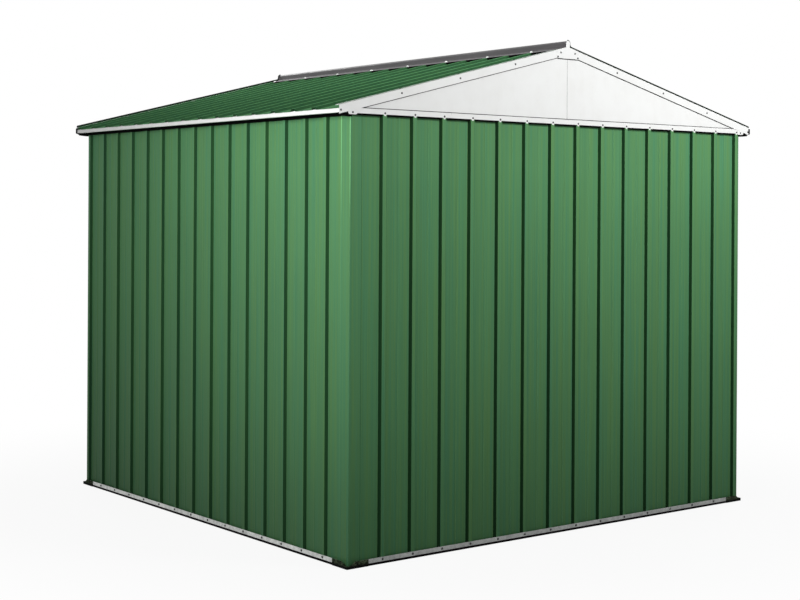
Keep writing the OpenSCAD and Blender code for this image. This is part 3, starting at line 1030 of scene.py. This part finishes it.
def placed_heads(name, rings, places, finish):
    """One mesh of like heads, each at a point and along a direction; finish is a material and a slot,
    and the slot is not used.
    """
    vertices, faces = [], []
    for number, (point, direction) in enumerate(places):
        turn = Vector(direction).to_track_quat("Z", "Y").to_matrix().to_4x4()
        spin = Matrix.Rotation(number * SPIN, 4, "Z")
        place = Matrix.Translation(point) @ turn @ spin
        start = len(vertices)
        vertices += [place @ v for level in rings for v in level]
        for level in range(len(rings) - 1):
            for i in range(SIDES_OF_HEAD):
                j = (i + 1) % SIDES_OF_HEAD
                a = start + level * SIDES_OF_HEAD
                b = a + SIDES_OF_HEAD
                faces.append((a + i, a + j, b + j, b + i))
        faces.append(tuple(start + SIDES_OF_HEAD - 1 - i for i in range(SIDES_OF_HEAD)))
        top = start + (len(rings) - 1) * SIDES_OF_HEAD
        faces.append(tuple(top + i for i in range(SIDES_OF_HEAD)))
    material, slot = finish
    add_piece(name, vertices, faces, [material])


def wall_places(side, spots, proud):
    """Points on a wall given as (along, height), proud of the rib tops, and the way they face."""
    to_frame = wall_axes(side)
    outwards = to_frame.to_3x3() @ Vector((0, -1, 0))
    return [(to_frame @ Vector((along, -proud, z)), outwards) for along, z in spots]


def capsule(width, height):
    """Outline of a strip with two round ends, wider than high or higher than wide."""
    count = 40
    radius = min(width, height) / 2
    dx, dy = width / 2 - radius, height / 2 - radius
    points = []
    for i in range(count):
        angle = 2 * math.pi * (i + 0.5) / count
        x, y = math.cos(angle), math.sin(angle)
        points.append((radius * x + math.copysign(dx, x), radius * y + math.copysign(dy, y)))
    return points


def plates(name, outline, side, centres, behind, thickness):
    """White plates with softened edges on a wall; behind is their back's distance from the rib tops."""
    to_frame = wall_axes(side)
    flip = to_frame.determinant() > 0
    soft = min(0.25 * MM, thickness / 3)
    shrunk = 1 - 2 * soft / max(x for x, _ in outline)
    levels = [(0.0, 1.0), (thickness - soft, 1.0), (thickness, shrunk)]
    count = len(outline)
    vertices, faces = [], []
    for along, z in centres:
        start = len(vertices)
        for out, share in levels:
            vertices += [
                to_frame @ Vector((along + x * share, -behind - out, z + y * share)) for x, y in outline
            ]
        for level in range(len(levels) - 1):
            for i in range(count):
                j = (i + 1) % count
                a = start + level * count
                quad = (a + i, a + j, a + count + j, a + count + i)
                faces.append(quad[::-1] if flip else quad)
        front = tuple(start + (len(levels) - 1) * count + i for i in range(count))
        rear = tuple(start + count - 1 - i for i in range(count))
        faces += [front[::-1], rear[::-1]] if flip else [front, rear]
    return add_piece(name, vertices, faces, [WHITE_PAINT])


HEX = hex_head(8 * MM, 5.4 * MM)
SMALL = pan_head(4.2 * MM, 2.4 * MM)
BASE_HEAD = pan_head(5.2 * MM, 3.0 * MM)
RIVET = pan_head(3.2 * MM, 1.6 * MM)
LUG_W = 12 * MM
LUG_H = 20 * MM
LUG_LOW = 6.5 * MM
SCREW_RISE = 5 * MM
TAB_W = 43 * MM
TAB_H = 17 * MM
TAB_T = 1.2 * MM
TAB_RISE = 3 * MM
TAB_INSET = 13.5 * MM
RIVET_SHARES = (0.22, 0.5, 0.78)
RAKE_SCREWS = (303 * MM, 603 * MM, 903 * MM)
APEX_SCREWS = ((42 * MM, 2.080), (59 * MM, 2.061))
DARK = (DARK_SCREW, "galvanised")
WHITE = (WHITE_SCREW, "white_trim")


def gable_fixings(side):
    """Lugs and screws that hold the gable rail on the ribs, the corner tabs and a few rivets."""
    ribs = rib_places(WIDTH)
    lugs = [(x, RAIL_Z - LUG_LOW + LUG_H / 2) for x in ribs]
    plates(f"{side}_rail_lugs", capsule(LUG_W, LUG_H), side, lugs, TRIM_T, TRIM_T)
    spots = [(x, RAIL_Z + SCREW_RISE) for x in ribs]
    placed_heads(f"{side}_rail_screws", SMALL, wall_places(side, spots, 2 * TRIM_T), DARK)
    tabs = [(x, RAIL_Z + TAB_RISE) for x in (TAB_INSET, WIDTH - TAB_INSET)]
    plates(f"{side}_corner_tabs", capsule(TAB_W, TAB_H), side, tabs, 2 * TRIM_T, TAB_T)
    placed_heads(f"{side}_tab_screws", SMALL, wall_places(side, tabs, 2 * TRIM_T + TAB_T), DARK)
    rivets = [(share * WIDTH, RAIL_TOP - 4 * MM) for share in RIVET_SHARES]
    placed_heads(f"{side}_rail_rivets", RIVET, wall_places(side, rivets, TRIM_T), WHITE)


def rake_fixings(side):
    """Screws along the two rakes, on their faces and flanges, and on the apex plate."""
    spots, heads = [], []
    depth = -HALF_D + 11 * MM
    for x in RAKE_SCREWS:
        for sign in (-1, 1):
            spots.append((HALF_W + sign * x, rake_top(x) - FACE_H / 2))
            point = Vector((sign * x, depth if side == "front" else -depth, rake_top(x)))
            heads.append((point, off_slope(sign)))
    spots += [(HALF_W + sign * (EAVE_X - 8 * MM), RAIL_Z + 10 * MM) for sign in (-1, 1)]
    placed_heads(f"{side}_flange_screws", SMALL, heads, DARK)
    placed_heads(f"{side}_rake_screws", SMALL, wall_places(side, spots, 2 * TRIM_T), DARK)
    spots = [(HALF_W + sign * x, z) for x, z in APEX_SCREWS for sign in (-1, 1)]
    placed_heads(f"{side}_apex_screws", SMALL, wall_places(side, spots, 3 * TRIM_T), DARK)


def base_fixings(side):
    """Screws through the base rail into the ribs, between the corner feet."""
    low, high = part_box(f"{side}_base_rail")
    length = SIDES[side]
    z = (low.z + high.z) / 2 + 1 * MM
    spots = [(x, z) for x in rib_places(length) if FOOT_LEG < x < length - FOOT_LEG]
    placed_heads(f"{side}_base_screws", BASE_HEAD, wall_places(side, spots, BASE_T), DARK)


def ridge_fixings():
    """White screws with washers on every second rib, near the lower edges of the ridge cap."""
    x = CAP_X - 9 * MM
    heads = []
    for sign in (-1, 1):
        for along in rib_places(DEPTH)[::2]:
            point = Vector((sign * x, along - HALF_D, rib_z(x) + RIDGE_T * STRETCH))
            heads.append((point, off_slope(sign)))
    placed_heads("ridge_washers", washer(7.5 * MM), heads, WHITE)
    raised = [(point + way * WASHER_H, way) for point, way in heads]
    placed_heads("ridge_screws", HEX, raised, WHITE)


# ---- finishes of the construction


def paint(node, material):
    """Gives a piece of the construction its finish."""
    for slot in NODES[node].material_slots:
        slot.link = "OBJECT"
        slot.material = material


def paint_frame():
    """Finishes of the flat pieces that keep their own shape."""
    for hand in HANDS:
        # The eave plates under the eaves get the flanks' darker green: painted shade.
        paint(f"{hand}_eave_plate", WALL_SHADE)
        for end in ENDS:
            paint(f"{end}_{hand}_infill", WHITE_PAINT)


# ---- studio


AMBIENT = 0.22
FLOOR_RADIUS = 60.0
FLOOR_SIDES = 64
FLOOR_GREY = (0.4, 0.4, 0.4, 1)
WHITE_LIGHT = (1, 1, 1, 1)


def floor():
    """Pale floor that keeps the shed's shadow and turns white with the distance."""
    s = Surface("floor_pale")
    length = s.node("ShaderNodeVectorMath", {0: s.place}, operation="LENGTH")
    far = s.spread(length.outputs["Value"], 1.6, 3.4, 0.92, 1.0, "SMOOTHSTEP")
    glow = s.node("ShaderNodeEmission", {"Color": WHITE_LIGHT}).outputs["Emission"]
    share = s.maths("MULTIPLY", s.seen(), far)
    mix = s.node("ShaderNodeMixShader", {"Fac": share, 1: s.shader.outputs["BSDF"], 2: glow})
    s.put(s.tree.nodes["Material Output"].inputs["Surface"], mix.outputs["Shader"])
    s.shader.inputs["Base Color"].default_value = FLOOR_GREY
    s.shader.inputs["Roughness"].default_value = 0.9
    s.shader.inputs["Specular IOR Level"].default_value = 0.0
    points = []
    for i in range(FLOOR_SIDES):
        angle = 2 * math.pi * i / FLOOR_SIDES
        points.append((FLOOR_RADIUS * math.cos(angle), FLOOR_RADIUS * math.sin(angle), -0.5 * MM))
    mesh = bpy.data.meshes.new("floor")
    mesh.from_pydata(points, [], [tuple(range(FLOOR_SIDES))])
    mesh.materials.append(s.material)
    ground = linked("floor", mesh)


def sky():
    """White behind the shed and in its reflections, and a lower plain light all around."""
    world = bpy.data.worlds.new("studio")
    bpy.context.scene.world = world
    world.use_nodes = True
    s = Nodes(world.node_tree)
    background = s.tree.nodes["Background"]
    s.put(background.inputs["Strength"], s.spread(s.seen(), 0.0, 1.0, AMBIENT, 1.0))
    background.inputs["Color"].default_value = WHITE_LIGHT


def lamp(name, position, target, power, size=1.4):
    """Square lamp of this power in watts and size, turned towards its target."""
    light = bpy.data.lights.new(name, "AREA")
    light.energy = power
    light.size = size
    made = linked(name, light)
    made.location = position
    made.rotation_euler = (Vector(target) - Vector(position)).to_track_quat("-Z", "Y").to_euler()


def lamps():
    """One soft lamp in front of each wall, and a wide one over the roof."""
    lamp("front_lamp", (1.3, -HALF_D - 3.0, 3.5), (0.5, 0, 1.4), 149)
    lamp("back_lamp", (0, HALF_D + 3.0, 3.5), (0, 0, 1.5), 134)
    lamp("left_lamp", (-HALF_W - 2.7, -1.3, 2.2), (-1.0, -2.6, 0.9), 101)
    lamp("right_lamp", (HALF_W + 3.2, 0.6, 2.4), (1.0, 0.3, 1.1), 128)
    lamp("top_lamp", (0, 0, 6.0), (0, 0, 0), 70, 3.0)


def camera():
    """Eye-level camera before the near left corner; the shift keeps the walls' edges upright."""
    yaw, pitch, roll = (math.radians(a) for a in (38.93, -0.05, 0.32))
    ahead = Vector((math.sin(yaw) * math.cos(pitch), math.cos(yaw) * math.cos(pitch), math.sin(pitch)))
    right = Vector((math.cos(yaw), -math.sin(yaw), 0))
    up = right.cross(ahead)
    tilted_right = right * math.cos(roll) + up * math.sin(roll)
    tilted_up = up * math.cos(roll) - right * math.sin(roll)
    data = bpy.data.cameras.new("camera")
    data.sensor_width = 36
    data.lens = 68.31
    data.shift_x = -0.0625
    data.shift_y = -0.1123
    made = linked("camera", data)
    made.matrix_world = axes(tilted_right, tilted_up, -ahead, (-4.544, -5.972, 1.400))
    bpy.context.scene.camera = made


def main():
    bpy.context.scene.view_settings.view_transform = "Standard"
    camera()
    sky()
    lamps()
    floor()
    paint_frame()
    wall_skins()
    roof_skins()
    gable_rails()
    rakes()
    eave_trims()
    base_rails()
    corner_angles()
    ridge()
    apex_plates()
    feet()
    wall_pan_shades()
    eave_shade_strips()
    eave_end_shades()
    ridge_foam_and_shades()
    base_shade_strips()
    gable_shade_and_seam_lines()
    roof_edges()
    for side in ENDS:
        gable_fixings(side)
        rake_fixings(side)
    for side in SIDES:
        base_fixings(side)
    ridge_fixings()


main()

bpy.context.view_layer.update()
